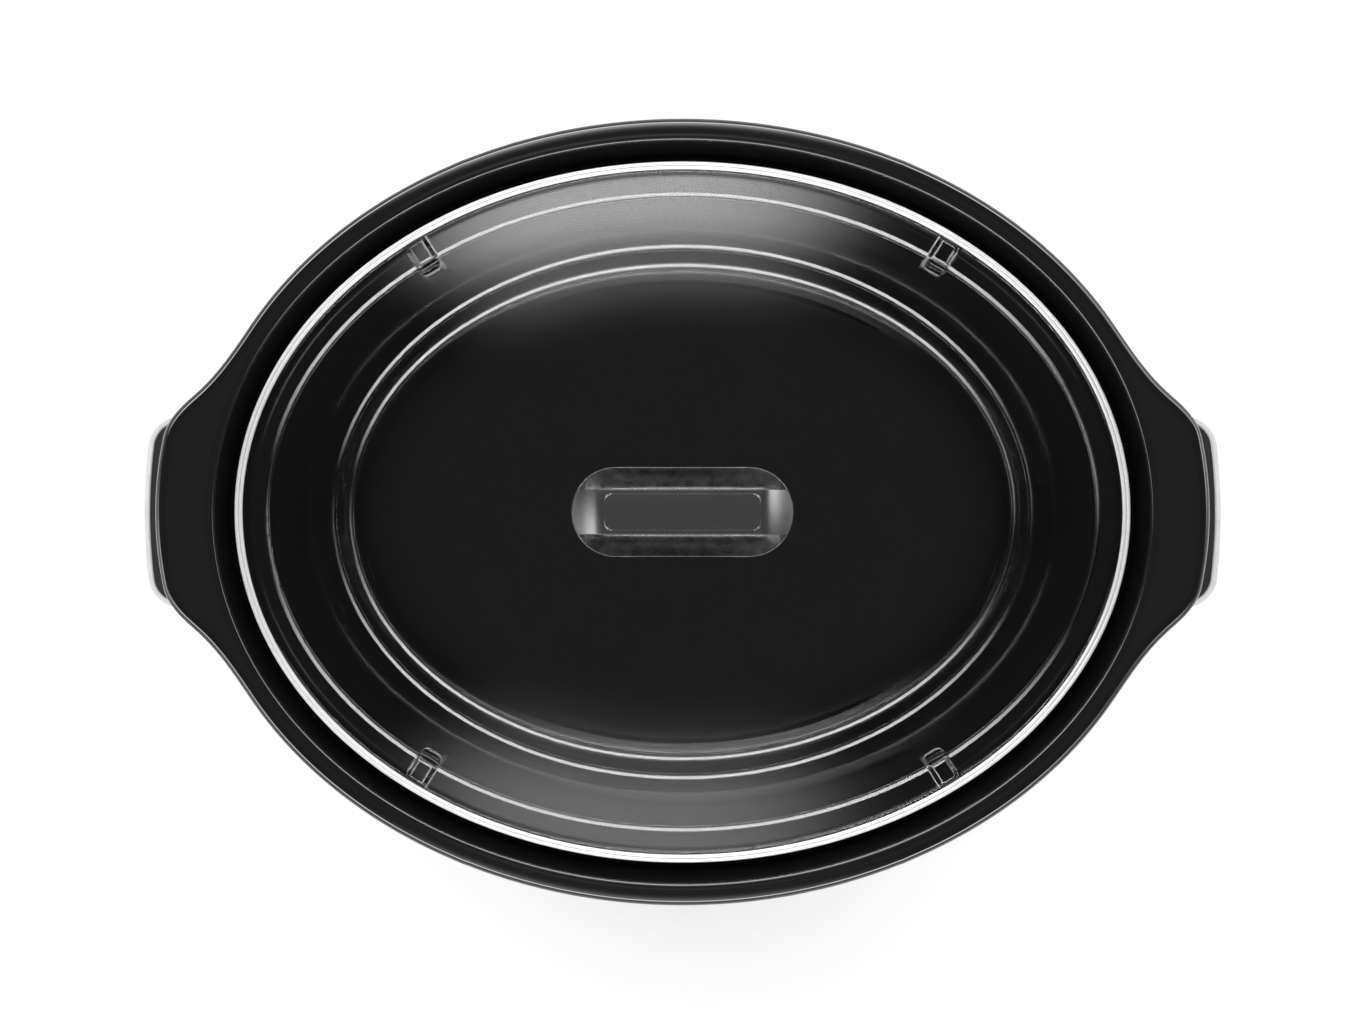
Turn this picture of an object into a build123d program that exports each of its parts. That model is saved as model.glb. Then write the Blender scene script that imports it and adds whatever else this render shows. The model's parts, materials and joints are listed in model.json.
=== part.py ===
from build123d import *
import os
from math import atan2, cos, degrees, hypot, radians, sin

# Oval slow cooker: a heated base, a lift-out stoneware crock and a stepped glass lid.
# Millimetres. +X runs along the oval, -Y is the front with the control, +Z is up.
# The origin is on the ground, under the middle of the oval.
# An oval is given by its half length and its half width: (a, b).

SEAT_GAP = 0.05                 # between pieces that rest on each other and lift apart
FIT = 0.1                       # between pieces that are screwed or pressed together

# Feet and bottom plate
FOOT_HEIGHT = 8.0
FOOT_RADIUS = 12.0
FOOT_PLACE = (107.0, 72.0)
FOOT_STEM = 4.0
PLATE_THICK = 1.0
PLATE_OVAL = (152.0, 115.5)
PLATE_SCREW_PLACE = (131.0, 46.0)
PLATE_SCREW = 1.9
VENT_LENGTH, VENT_WIDTH, VENT_PITCH, VENT_COUNT = 44.0, 4.0, 12.0, 5

# Base ring, the skirt under the housing
RING_BOTTOM = FOOT_HEIGHT + PLATE_THICK
RING_SHELF = 20.0
RING_TOP = 25.0
RING_LOWER, RING_UPPER = (157.5, 121.0), (162.2, 125.7)
RING_FLANGE = 3.0
RING_OPENING = (130.0, 94.0)

# Outer housing, a bowed steel wall: (z, a, b) of its outside
HOUSING = [(RING_SHELF, 159.0, 122.5), (95.0, 169.0, 132.5), (179.0, 173.8, 137.3)]
HOUSING_THICK = 0.8

# Heater liner, the pan that the crock hangs in
LINER_BOTTOM, LINER_TOP = 52.0, 178.0
LINER_LOWER, LINER_UPPER = (151.5, 115.1), (165.0, 128.6)
LINER_THICK = 1.0
LINER_CORNER = 28.0
FLANGE_Z, FLANGE_THICK = 179.0, 1.0
FLANGE_OVAL = (175.6, 139.1)
FLANGE_LIP_DROP, FLANGE_LIP_THICK = 7.0, 1.3

# Band heater, its straps and its blanket, as (lowest z, highest z, gap from liner, thickness)
HEATER = (82.0, 128.0, 0.15, 3.0)
STRAPS = [(88.0, 94.0, 3.3, 0.6), (116.0, 122.0, 3.3, 0.6)]
BLANKET = (80.0, 130.0, 4.2, 3.0)

# Crock
CROCK_BOTTOM, CROCK_FLANGE, CROCK_TOP = 58.0, FLANGE_Z + FLANGE_THICK + SEAT_GAP, 194.8
CROCK_RIM = (183.0, 146.6)
CROCK_LOWER, CROCK_UPPER = (148.0, 111.6), (160.5, 124.1)
CROCK_CORNER = 26.0
CAVITY_BOTTOM, CAVITY_LOWER, CAVITY_UPPER = 68.0, (140.0, 103.6), (154.0, 117.6)
CAVITY_CORNER = 20.0
BEAD_OVAL, BEAD_TOP = (178.5, 142.1), 196.0
LEDGE_Z, LEDGE_OVAL, LEDGE_MOUTH = 187.0, (168.6, 132.2), (174.4, 138.0)
EAR_ROOT, EAR_CORNER, EAR_REACH = (160.0, 60.8), (191.5, 36.1), 196.4
EAR_CORNER_RADIUS, EAR_ROOT_RADIUS = 14.0, 55.0

# Lid: glass of even thickness with a low flange, three shallow steps and a flat middle
LID_BASE = LEDGE_Z + SEAT_GAP
BAND_OVAL, BAND_HEIGHT, BAND_WIDTH, BAND_THICK = (167.1, 130.8), 4.5, 3.0, 0.65
GLASS_THICK = 3.3
GLASS_BASE = LID_BASE + BAND_THICK + SEAT_GAP
GLASS_PROFILE = [               # (a, b, height of the top face above the flange)
    (166.2, 129.9, 0.0), (163.6, 127.3, 0.0), (155.6, 118.8, 2.4), (154.6, 117.8, 3.2),
    (130.3, 99.1, 8.9), (129.3, 98.1, 9.7), (124.0, 92.0, 11.1), (123.0, 91.0, 11.9),
    (95.0, 65.0, 15.1)]
GLASS_INSET = 1.9               # how far the underside's steps sit inside the top's
GLASS_HOLE = 4.5
VENT_RIB = (10.5, 4.4, 1.3)     # length, width and height of a steam vent's rib
VENT_GROOVE = (2.2, 1.2)        # width and depth of the channel under it
VENT_RADIUS = 139.0

# Lid knob: a stadium with a raised grip bar and a scooped well on either side
KNOB_LENGTH, KNOB_WIDTH = 82.0, 33.0
GASKET_THICK = 1.2
KNOB_BASE = GLASS_BASE + GLASS_THICK + GLASS_PROFILE[-1][2] + GASKET_THICK
KNOB_EDGE, KNOB_HEIGHT = 15.0, 28.0
BAR_WIDTH, BAR_FLAT, BAR_END_DROP = 16.4, 60.0, 9.0
WELL_DEPTH, WELL_REACH = 7.5, 35.0
PAD_LENGTH, PAD_WIDTH, PAD_HEIGHT = 57.0, 13.4, 0.5
LID_SCREW, LID_SCREW_HEAD, INSERT_RADIUS, INSERT_LENGTH = 2.5, 6.0, 4.2, 11.0

# Side handles: a grip with a finger pocket underneath, and a bright trim around its edge
HANDLE_Z = (127.0, 160.0)
HANDLE_ROOT, HANDLE_CORNER, HANDLE_REACH = (160.0, 51.0), (201.9, 33.0), 204.5
HANDLE_CORNER_RADIUS, HANDLE_UNDER_RADIUS = 13.0, 7.0
TRIM_THICK, TRIM_HEIGHT = 2.8, 15.0
POCKET_X, POCKET_WIDTH, POCKET_TOP = (181.0, 196.0), 56.0, 152.0
HANDLE_SCREW, HANDLE_SCREW_Y, HANDLE_SCREW_Z = 2.0, 22.0, 156.0

# Control on the front
CONTROL_Z = 48.0
PANEL_FACE = -131.6
PANEL_WIDTH, PANEL_HEIGHT, PANEL_CORNER = 66.0, 40.0, 15.0
SWITCH_BODY = (22.0, 16.5, 18.0)
SWITCH_FACE = -124.2
NECK_RADIUS, NECK_REACH = 4.5, -134.8
NUT_THICK = 2.4
SHAFT_RADIUS, SHAFT_REACH = 3.0, -143.0
DIAL_BASE, DIAL_FRONT = PANEL_FACE - 0.5, -146.0
DIAL_SKIRT_RADIUS, DIAL_SKIRT = 16.5, 4.5
DIAL_GRIP_RADIUS, DIAL_GRIP_FRONT_RADIUS = 14.2, 13.0
DIAL_FLUTES, DIAL_FLUTE_RADIUS = 16, 1.3
DIAL_HOLLOW_RADIUS, DIAL_HOLLOW = 10.0, 3.5
INLAY = (8.0, 1.4, 0.6)         # pointer's length, width and depth

# Cord gland on the back
GLAND_Z = 38.0
GLAND_BORE = 3.6
GLAND_BODY, GLAND_FLANGE = 6.5, 9.5
GLAND_Y = (111.0, 129.0)

# Small parts under the liner
BOLT_RADIUS, BOLT_HEAD, BOLT_HEAD_HEIGHT, SPACER_RADIUS = 3.0, 7.0, 3.0, 5.5
NUT_ACROSS, BOLT_NUT_THICK = 10.0, 4.0
FUSE = (24.0, 8.0, 5.0)
FUSE_PLACE, FUSE_PIN = (-48.0, 30.0), 5.0
TERMINAL = (34.0, 16.0, 13.0)
TERMINAL_PLACE = (46.0, 66.0)
EARTH_PLACE = (-30.0, 76.0)
EARTH_SCREW, EARTH_HEIGHT = 2.0, 9.0
LEAD_RADIUS, LEAD_BEND = 1.3, 8.0


def oval(size, z):
    return Pos(0, 0, z) * Ellipse(*size)


def oval_stack(sections, smooth=False):
    """Solid through ovals given as (a, b, z), from the lowest to the highest."""
    return loft([oval((a, b), z) for a, b, z in sections], ruled=not smooth)


def grown(size, extra):
    return (size[0] + extra, size[1] + extra)


def edges_at(shape, z):
    return [e for e in shape.edges() if abs(e.center().Z - z) < 0.01]


def corner_edges(shape, near_x, near_y, reach):
    """Upright edges whose middle is within reach of (+-near_x, +-near_y)."""
    upright = [e for e in shape.edges() if abs(e.tangent_at(0.5).Z) > 0.99]
    return [e for e in upright
            if hypot(abs(e.center().X) - near_x, abs(e.center().Y) - near_y) < reach]


def rod(start, direction, radius, length):
    return Solid.make_cylinder(radius, length, Plane(origin=start, z_dir=direction))


def four_places(place):
    x, y = place
    return [(x, y), (-x, y), (-x, -y), (x, -y)]


def end_tab(root, corner, reach):
    """Plan of a tab on the +X end: straight flanks and a bowed end."""
    (root_x, root_y), (corner_x, corner_y) = root, corner
    flank_a = Line((root_x, -root_y), (corner_x, -corner_y))
    end = ThreePointArc((corner_x, -corner_y), (reach, 0), (corner_x, corner_y))
    flank_b = Line((corner_x, corner_y), (root_x, root_y))
    close = Line((root_x, root_y), (root_x, -root_y))
    return make_face(Curve() + [flank_a, end, flank_b, close])


def housing_form(extra):
    """The housing's outside as a solid bowl, with extra added to its half sizes."""
    return oval_stack([(a + extra, b + extra, z) for z, a, b in HOUSING], smooth=True)


def liner_size(z, extra=0.0):
    share = (z - LINER_BOTTOM) / (LINER_TOP - LINER_BOTTOM)
    a, b = (low + share * (high - low) for low, high in zip(LINER_LOWER, LINER_UPPER))
    return (a + extra, b + extra)


def band_around_liner(low, high, gap, thickness):
    def form(extra):
        return oval_stack([(*liner_size(z, extra), z) for z in (low, high)])
    return form(gap + thickness) - form(gap)


# ---- base ----

def make_rubber_feet():
    feet = []
    for x, y in four_places(FOOT_PLACE):
        pad = Pos(x, y, FOOT_HEIGHT / 2) * Cylinder(FOOT_RADIUS, FOOT_HEIGHT)
        pad = fillet(edges_at(pad, 0), 2.0)
        stem = rod((x, y, FOOT_HEIGHT), (0, 0, 1), FOOT_STEM - FIT, PLATE_THICK + 2.5)
        feet.append(pad + stem)
    return Compound(feet)


def make_bottom_plate():
    low, high = FOOT_HEIGHT, FOOT_HEIGHT + PLATE_THICK
    plate = oval_stack([(*PLATE_OVAL, low), (*PLATE_OVAL, high)])
    middle = (low + high) / 2
    for x, y in four_places(FOOT_PLACE):
        plate -= Pos(x, y, middle) * Cylinder(FOOT_STEM, 4 * PLATE_THICK)
    for x, y in four_places(PLATE_SCREW_PLACE):
        plate -= Pos(x, y, middle) * Cylinder(PLATE_SCREW + FIT, 4 * PLATE_THICK)
    plate -= Pos(0, 0, middle) * Cylinder(BOLT_RADIUS + FIT, 4 * PLATE_THICK)
    for side in (-1, 1):
        for i in range(VENT_COUNT):
            y = (i - (VENT_COUNT - 1) / 2) * VENT_PITCH
            slot = extrude(SlotOverall(VENT_LENGTH, VENT_WIDTH), 2 * PLATE_THICK, both=True)
            plate -= Pos(side * 52, y, middle) * slot
    return plate


def make_plate_screws():
    screws = []
    for x, y in four_places(PLATE_SCREW_PLACE):
        head = rod((x, y, FOOT_HEIGHT), (0, 0, -1), 2 * PLATE_SCREW, 2.0)
        shank = rod((x, y, FOOT_HEIGHT), (0, 0, 1), PLATE_SCREW, 10.0)
        screws.append(head + shank)
    return Compound(screws)


def make_base_ring():
    skirt = oval_stack([(*RING_LOWER, RING_BOTTOM), (*RING_UPPER, RING_TOP)])
    skirt = fillet(edges_at(skirt, RING_BOTTOM), 3.0)
    skirt = fillet(edges_at(skirt, RING_TOP), 0.7)
    skirt -= housing_form(FIT)
    wall = 5.0
    low, high = RING_BOTTOM + RING_FLANGE, RING_SHELF
    skirt -= oval_stack([(*grown(RING_LOWER, -wall), low), (*grown(RING_UPPER, -1.3 * wall), high)])
    skirt -= oval_stack([(*RING_OPENING, RING_BOTTOM), (*RING_OPENING, low)])
    for x, y in four_places(PLATE_SCREW_PLACE):
        skirt += rod((x, y, low), (0, 0, 1), 5.0, 8.0)
        skirt -= rod((x, y, RING_BOTTOM), (0, 0, 1), PLATE_SCREW + FIT, 9.5)
    for x, y in four_places(FOOT_PLACE):
        skirt -= rod((x, y, RING_BOTTOM), (0, 0, 1), FOOT_STEM, RING_FLANGE)
    return skirt


def make_outer_housing():
    shell = housing_form(0) - housing_form(-HOUSING_THICK)
    shell -= rod((0, -100, CONTROL_Z), (0, -1, 0), NECK_RADIUS + FIT, 40)
    shell -= rod((0, 100, GLAND_Z), (0, 1, 0), GLAND_BODY, 40)
    for x, y, _ in handle_screw_places():
        side = 1 if x > 0 else -1
        shell -= rod((side * 150, y, HANDLE_SCREW_Z), (side, 0, 0), HANDLE_SCREW + FIT, 40)
    return shell


def make_heater_liner():
    def pan(inset, bottom, top):
        low, high = liner_size(LINER_BOTTOM, -inset), liner_size(LINER_TOP, -inset)
        form = oval_stack([(*low, bottom), (*high, top)])
        return fillet(edges_at(form, bottom), LINER_CORNER - inset)
    flange_top = FLANGE_Z + FLANGE_THICK
    lip_bottom = FLANGE_Z - FLANGE_LIP_DROP
    body = pan(0, LINER_BOTTOM, FLANGE_Z)
    flange = oval_stack([(*FLANGE_OVAL, lip_bottom), (*FLANGE_OVAL, flange_top)])
    flange = fillet(edges_at(flange, flange_top), 0.9)
    under = grown(FLANGE_OVAL, -FLANGE_LIP_THICK)
    flange -= oval_stack([(*under, lip_bottom), (*under, FLANGE_Z)])
    liner = body + flange - pan(LINER_THICK, LINER_BOTTOM + LINER_THICK, flange_top)
    return liner - rod((0, 0, LINER_BOTTOM), (0, 0, 1), BOLT_RADIUS + FIT, 2 * LINER_THICK)


def make_centre_bolt():
    head_z = LINER_BOTTOM + LINER_THICK
    head = Pos(0, 0, head_z + BOLT_HEAD_HEIGHT / 2) * Cylinder(BOLT_HEAD, BOLT_HEAD_HEIGHT)
    head = fillet(edges_at(head, head_z + BOLT_HEAD_HEIGHT), 1.6)
    foot = FOOT_HEIGHT - BOLT_NUT_THICK - 1.5
    return head + rod((0, 0, foot), (0, 0, 1), BOLT_RADIUS, head_z - foot)


def make_centre_spacer():
    low = FOOT_HEIGHT + PLATE_THICK
    length = LINER_BOTTOM - low
    tube = rod((0, 0, low), (0, 0, 1), SPACER_RADIUS, length)
    return tube - rod((0, 0, low), (0, 0, 1), BOLT_RADIUS + FIT, length)


def hex_nut(across, bore, thickness):
    outline = RegularPolygon(across / 2, 6, major_radius=False) - Circle(bore)
    return extrude(outline, thickness)


def make_centre_nut():
    return Pos(0, 0, FOOT_HEIGHT - BOLT_NUT_THICK) * hex_nut(NUT_ACROSS, BOLT_RADIUS, BOLT_NUT_THICK)


def make_thermal_fuse():
    length, width, height = FUSE
    place = Pos(*FUSE_PLACE, LINER_BOTTOM - height / 2)
    case = fillet((place * Box(length, width, height)).edges().filter_by(Axis.X), 1.2)
    pins = place * Rot(0, 90, 0) * Cylinder(1.0, length + 2 * FUSE_PIN)
    return case + pins


def make_terminal_block():
    length, width, height = TERMINAL
    x, y = TERMINAL_PLACE
    block = Pos(x, y, FOOT_HEIGHT + PLATE_THICK + height / 2) * Box(length, width, height)
    for i in range(3):
        post_x = x + (i - 1) * length / 3.2
        block -= Pos(post_x, y, FOOT_HEIGHT + PLATE_THICK + height) * Cylinder(3.0, 6.0)
    return block


def make_earth_screw():
    x, y = EARTH_PLACE
    low = FOOT_HEIGHT + PLATE_THICK
    shank = rod((x, y, low), (0, 0, 1), EARTH_SCREW, EARTH_HEIGHT)
    return shank + rod((x, y, low + EARTH_HEIGHT), (0, 0, 1), 2 * EARTH_SCREW, 2.0)


def lead(points):
    path = FilletPolyline(*points, radius=LEAD_BEND)
    start = Plane(origin=path @ 0, z_dir=path % 0)
    return sweep(start * Circle(LEAD_RADIUS), path)


def make_wiring_leads():
    """Inner leads: terminal block to switch, switch to heater, and fuse to heater."""
    block_x, block_y = TERMINAL_PLACE
    block_face = block_y - TERMINAL[1] / 2
    block_z = FOOT_HEIGHT + PLATE_THICK + TERMINAL[2] / 2
    switch_back = SWITCH_FACE + SWITCH_BODY[1]
    heater_low, _, heater_gap, heater_thick = HEATER
    pocket = heater_gap + heater_thick / 2
    live = lead([(block_x, block_face, block_z), (block_x, -60, block_z),
                 (6, -60, CONTROL_Z - 5), (6, switch_back, CONTROL_Z - 5)])
    angle = radians(-58)
    a, b = liner_size(heater_low, pocket)
    x, y = a * cos(angle), b * sin(angle)
    feed = lead([(-6, switch_back, CONTROL_Z - 5), (-6, -84, CONTROL_Z - 5),
                 (-x, -84, CONTROL_Z - 14), (-x, y - 1, CONTROL_Z - 14), (-x, y - 1, heater_low)])
    pin_x, pin_y = FUSE_PLACE[0] + FUSE[0] / 2 + FUSE_PIN, FUSE_PLACE[1]
    pin_z = LINER_BOTTOM - FUSE[2] / 2
    back = lead([(pin_x, pin_y, pin_z), (pin_x + 20, pin_y, pin_z),
                 (block_x - 10, 40, block_z), (block_x - 10, block_face, block_z)])
    return Compound([live, feed, back])


# ---- side handles, for side +1 or -1 along X ----

def handle_plan(inset=0.0):
    plan = end_tab(HANDLE_ROOT, HANDLE_CORNER, HANDLE_REACH)
    corners = [v for v in plan.vertices() if v.X > HANDLE_CORNER[0] - 1]
    plan = fillet(corners, HANDLE_CORNER_RADIUS)
    return offset(plan, -inset) if inset else plan


def handle_screw_places():
    """Where each screw's head sits, against the inside of the housing."""
    return [(side * 167.2, across * HANDLE_SCREW_Y, HANDLE_SCREW_Z)
            for side in (-1, 1) for across in (-1, 1)]


def make_handle(side):
    low, high = HANDLE_Z
    outer = Pos(0, 0, low) * extrude(handle_plan(), high - low)
    trim_low = high - TRIM_HEIGHT
    rebate = Pos(0, 0, trim_low) * extrude(handle_plan(TRIM_THICK + FIT), TRIM_HEIGHT)
    below = Pos(0, 0, low) * extrude(handle_plan(), trim_low - low)
    grip = (rebate + below) & outer
    grip = fillet(edges_at(grip, low), HANDLE_UNDER_RADIUS)
    pocket_length = POCKET_X[1] - POCKET_X[0]
    pocket_middle = (POCKET_X[0] + POCKET_X[1]) / 2
    pocket = Pos(pocket_middle, 0, (low + POCKET_TOP) / 2)
    pocket *= Box(pocket_length, POCKET_WIDTH, POCKET_TOP - low)
    pocket = fillet(pocket.edges().filter_by(Axis.Z), 6.0)
    pocket = fillet(edges_at(pocket, POCKET_TOP), 5.0)
    grip -= pocket
    grip -= housing_form(FIT)
    for across in (-1, 1):
        hole_start = (165, across * HANDLE_SCREW_Y, HANDLE_SCREW_Z)
        grip -= rod(hole_start, (1, 0, 0), HANDLE_SCREW + FIT / 2, 24)
    return grip if side > 0 else mirror(grip, about=Plane.YZ)


def make_handle_trim(side):
    low, high = HANDLE_Z[1] - TRIM_HEIGHT + FIT, HANDLE_Z[1] + 0.6
    band = extrude(handle_plan() - handle_plan(TRIM_THICK), high - low)
    band = Pos(0, 0, low) * band
    band -= Pos(HANDLE_ROOT[0], 0, (low + high) / 2) * Box(30, 120, 40)
    outer_edges = [e for e in edges_at(band, high)]
    band = fillet(outer_edges, 0.8)
    return band if side > 0 else mirror(band, about=Plane.YZ)


def make_handle_screws():
    screws = []
    for x, y, z in handle_screw_places():
        outward = 1 if x > 0 else -1
        head = rod((x, y, z), (-outward, 0, 0), 1.8 * HANDLE_SCREW, 2.2)
        shank = rod((x, y, z), (outward, 0, 0), HANDLE_SCREW, 20)
        screws.append(head + shank)
    return Compound(screws)


# ---- control and gland ----

def make_control_panel():
    depth = 16.0
    face = RectangleRounded(PANEL_WIDTH, PANEL_HEIGHT, PANEL_CORNER)
    front = Plane(origin=(0, PANEL_FACE, CONTROL_Z), x_dir=(1, 0, 0), z_dir=(0, -1, 0))
    panel = extrude(front * face, -depth)
    outer = [e for e in panel.edges() if abs(e.center().Y - PANEL_FACE) < 0.01]
    panel = fillet(outer, 1.2)
    panel -= housing_form(FIT)
    panel -= rod((0, PANEL_FACE + depth, CONTROL_Z), (0, -1, 0), NECK_RADIUS + FIT, 2 * depth)
    return max(panel.solids(), key=lambda solid: solid.volume)


def make_switch_body():
    width, depth, height = SWITCH_BODY
    case = Pos(0, SWITCH_FACE + depth / 2, CONTROL_Z) * Box(width, depth, height)
    case = fillet(case.edges().filter_by(Axis.Y), 2.0)
    neck = rod((0, SWITCH_FACE, CONTROL_Z), (0, -1, 0), NECK_RADIUS, SWITCH_FACE - NECK_REACH)
    shaft_hole = rod((0, SWITCH_FACE + 8, CONTROL_Z), (0, -1, 0), SHAFT_RADIUS + 0.05, 30)
    return case + neck - shaft_hole


def make_switch_nut():
    nut = hex_nut(14.0, NECK_RADIUS, NUT_THICK)
    return Plane(origin=(0, PANEL_FACE, CONTROL_Z), z_dir=(0, -1, 0)) * nut


def make_switch_shaft():
    start = SWITCH_FACE + 6
    shaft = rod((0, start, CONTROL_Z), (0, -1, 0), SHAFT_RADIUS, start - SHAFT_REACH)
    flat_length = NECK_REACH - SHAFT_REACH
    flat = Pos(0, SHAFT_REACH + flat_length / 2, CONTROL_Z - SHAFT_RADIUS)
    return shaft - flat * Box(8, flat_length, 2 * (SHAFT_RADIUS - 2.2))


def make_control_knob():
    skirt_face = DIAL_BASE - DIAL_SKIRT
    skirt = rod((0, DIAL_BASE, CONTROL_Z), (0, -1, 0), DIAL_SKIRT_RADIUS, DIAL_SKIRT)
    skirt = fillet([e for e in skirt.edges() if abs(e.center().Y - skirt_face) < 0.01], 1.5)
    grip_plane = Plane(origin=(0, skirt_face, CONTROL_Z), z_dir=(0, -1, 0))
    grip_length = skirt_face - DIAL_FRONT
    grip = Solid.make_cone(DIAL_GRIP_RADIUS, DIAL_GRIP_FRONT_RADIUS, grip_length, grip_plane)
    for i in range(DIAL_FLUTES):
        angle = radians((i + 0.5) * 360 / DIAL_FLUTES)
        reach = DIAL_GRIP_RADIUS + 0.3
        x, z = reach * cos(angle), CONTROL_Z + reach * sin(angle)
        grip -= rod((x, skirt_face - 0.4, z), (0, -1, 0), DIAL_FLUTE_RADIUS, 20)
    knob = skirt + grip
    knob -= rod((0, DIAL_BASE, CONTROL_Z), (0, -1, 0), DIAL_HOLLOW_RADIUS, DIAL_HOLLOW)
    return knob - make_switch_shaft() - make_knob_pointer()


def make_knob_pointer():
    """Pale inlay in the knob's face. It points to -X when the control is off."""
    length, width, depth = INLAY
    outline = SlotOverall(length, width)
    plane = Plane(origin=(-7.6, DIAL_FRONT, CONTROL_Z), x_dir=(1, 0, 0), z_dir=(0, -1, 0))
    return extrude(plane * outline, -depth)


def make_cord_gland():
    inner, outer = GLAND_Y
    flange = rod((0, outer, GLAND_Z), (0, -1, 0), GLAND_FLANGE, 14)
    flange = fillet([e for e in flange.edges() if abs(e.center().Y - outer) < 0.01], 1.5)
    flange -= housing_form(FIT)
    flange = max(flange.solids(), key=lambda solid: solid.volume)
    body = rod((0, inner, GLAND_Z), (0, 1, 0), GLAND_BODY - FIT, outer - inner - 4)
    return flange + body - rod((0, inner, GLAND_Z), (0, 1, 0), GLAND_BORE, outer - inner)


# ---- crock ----

def make_crock():
    ear = end_tab(EAR_ROOT, EAR_CORNER, EAR_REACH)
    plan = Ellipse(*CROCK_RIM) + ear + mirror(ear, about=Plane.YZ)
    slab = Pos(0, 0, CROCK_FLANGE) * extrude(plan, CROCK_TOP - CROCK_FLANGE)
    slab = fillet(corner_edges(slab, *EAR_CORNER, 3), EAR_CORNER_RADIUS)
    slab = fillet(corner_edges(slab, 171, 52, 6), EAR_ROOT_RADIUS)
    slab = fillet(edges_at(slab, CROCK_TOP), 4.0)
    slab = fillet(edges_at(slab, CROCK_FLANGE), 5.0)
    body = oval_stack([(*CROCK_LOWER, CROCK_BOTTOM), (*CROCK_UPPER, CROCK_FLANGE)])
    body = fillet(edges_at(body, CROCK_BOTTOM), CROCK_CORNER)
    bead = oval_stack([(*BEAD_OVAL, CROCK_FLANGE + 6), (*BEAD_OVAL, BEAD_TOP)])
    bead = fillet(edges_at(bead, BEAD_TOP), 1.4)
    ledge = oval_stack([(*LEDGE_OVAL, LEDGE_Z), (*LEDGE_MOUTH, BEAD_TOP)])
    ledge = fillet(edges_at(ledge, LEDGE_Z), 1.2)
    cavity = oval_stack([(*CAVITY_LOWER, CAVITY_BOTTOM), (*CAVITY_UPPER, LEDGE_Z)])
    cavity = fillet(edges_at(cavity, CAVITY_BOTTOM), CAVITY_CORNER)
    return slab + body + bead - ledge - cavity


# ---- lid ----

def glass_top(height=0.0):
    return GLASS_BASE + GLASS_THICK + height


def vent_frame(angle):
    """A place on the lid's flange with its X axis square to the rim."""
    x, y = VENT_RADIUS * cos(angle), VENT_RADIUS * sin(angle)
    a, b = BAND_OVAL
    return Pos(x, y, 0) * Rot(0, 0, degrees(atan2(y / b ** 2, x / a ** 2)))


def make_glass_lid():
    top = [(a, b, glass_top(h)) for a, b, h in GLASS_PROFILE]
    edge_a, edge_b, _ = GLASS_PROFILE[0]
    lid = oval_stack([(edge_a, edge_b, GLASS_BASE)] + top)
    under = [(a - GLASS_INSET, b - GLASS_INSET, z - GLASS_THICK) for a, b, z in top[2:]]
    first_a, first_b, first_z = under[0]
    lid -= oval_stack([(first_a, first_b, GLASS_BASE - 1)] + under)
    lid -= rod((0, 0, glass_top()), (0, 0, 1), GLASS_HOLE, 30)
    length, width, height = VENT_RIB
    for i in range(4):
        place = vent_frame(radians(45 + 90 * i))
        rib = place * Pos(-2.8, 0, glass_top(height / 2)) * Box(length, width, height + 1)
        lid += fillet(edges_at(rib, glass_top(height + 0.5)), 1.0)
        groove = Box(30, VENT_GROOVE[0], 2 * VENT_GROOVE[1])
        lid -= place * Pos(0, 0, GLASS_BASE) * groove
    return lid


def make_lid_rim_band():
    high = LID_BASE + BAND_HEIGHT
    ring = oval_stack([(*BAND_OVAL, LID_BASE), (*BAND_OVAL, high)])
    ring = fillet(edges_at(ring, high), 1.2)
    ring = fillet(edges_at(ring, LID_BASE), 1.0)
    opening = grown(BAND_OVAL, -BAND_WIDTH)
    ring -= oval_stack([(*opening, LID_BASE), (*opening, high)])
    slot = (GLASS_PROFILE[0][0] + SEAT_GAP, GLASS_PROFILE[0][1] + SEAT_GAP)
    return ring - oval_stack([(*slot, LID_BASE + BAND_THICK), (*slot, glass_top(SEAT_GAP))])


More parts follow.
